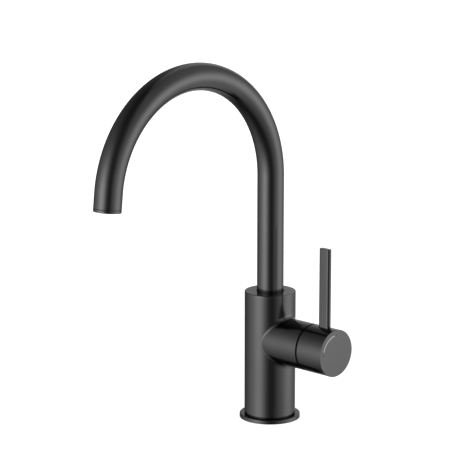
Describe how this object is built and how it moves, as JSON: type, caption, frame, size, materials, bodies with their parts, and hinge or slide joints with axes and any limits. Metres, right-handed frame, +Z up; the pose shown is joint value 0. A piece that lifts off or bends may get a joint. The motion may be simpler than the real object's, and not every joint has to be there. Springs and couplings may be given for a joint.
{
  "type": "basin mixer tap",
  "caption": "Deck-mounted basin mixer: round column, swivelling half-circle spout and a side cap with a thin upright lever that turns for temperature and tilts for flow.",
  "frame": {"origin": "centre of the flange's underside, on the deck", "axes": "+Z up, the spout points to -Y, the boss and the lever are on the +X side"},
  "size_m": [0.0983, 0.2163, 0.3053],
  "materials": {
    "black_metal": "satin black",
    "rubber": "matte",
    "brass": "machined",
    "steel": "turned",
    "ceramic": "lapped",
    "white_plastic": "moulded",
    "grey_plastic": "moulded",
    "black_plastic": "moulded",
    "silver_mark": "bright",
    "blue_mark": "enamel",
    "red_mark": "enamel"
  },
  "bodies": {
    "body": {"base_flange": "black_metal", "base_gasket": "rubber", "column_body": "black_metal", "inlet_block": "brass", "inlet_seals": "rubber", "spout_bush": "black_plastic", "spout_screw": "steel", "cartridge_base": "grey_plastic", "port_seals": "rubber", "fixed_disc": "ceramic", "cartridge_housing": "grey_plastic", "cartridge_nut": "brass", "dome_cover": "black_metal"},
    "spout": {"spout_tube": "black_metal", "spout_foot": "brass", "spout_orings": "rubber", "spout_glide_ring": "white_plastic", "aerator_housing": "black_metal", "aerator_insert": "grey_plastic", "aerator_screen": "steel", "aerator_washer": "rubber"},
    "yoke": {"lever_yoke": "white_plastic", "pivot_pin": "steel"},
    "valve_disc": {"moving_disc": "ceramic", "disc_carrier": "white_plastic"},
    "handle": {"spindle": "steel", "handle_cap": "black_metal", "lever_bar": "black_metal", "indicator_arc": "silver_mark", "cold_mark": "blue_mark", "hot_mark": "red_mark", "handle_screw": "steel", "handle_plug": "black_plastic"}
  },
  "joints": [
    {"name": "spout_swivel", "type": "hinge", "parent": "body", "child": "spout", "pos_m": [0, 0, 0.095], "axis": [0, 0, 1], "range_deg": [-75, 75]},
    {"name": "temperature", "type": "hinge", "parent": "body", "child": "yoke", "pos_m": [0.03607, 0, 0.068], "axis": [1, 0, 0], "range_deg": [0, 80]},
    {"name": "flow", "type": "hinge", "parent": "yoke", "child": "handle", "pos_m": [0.03607, 0, 0.068], "axis": [0, 1, 0], "range_deg": [0, 25]},
    {"name": "disc_slide", "type": "slide", "parent": "yoke", "child": "valve_disc", "axis": [0, 0, 1], "range_m": [0, 0.0034]}
  ],
  "couplings": [
    {"joint": "disc_slide", "follows": "flow", "m_per_rad": 0.00775}
  ]
}
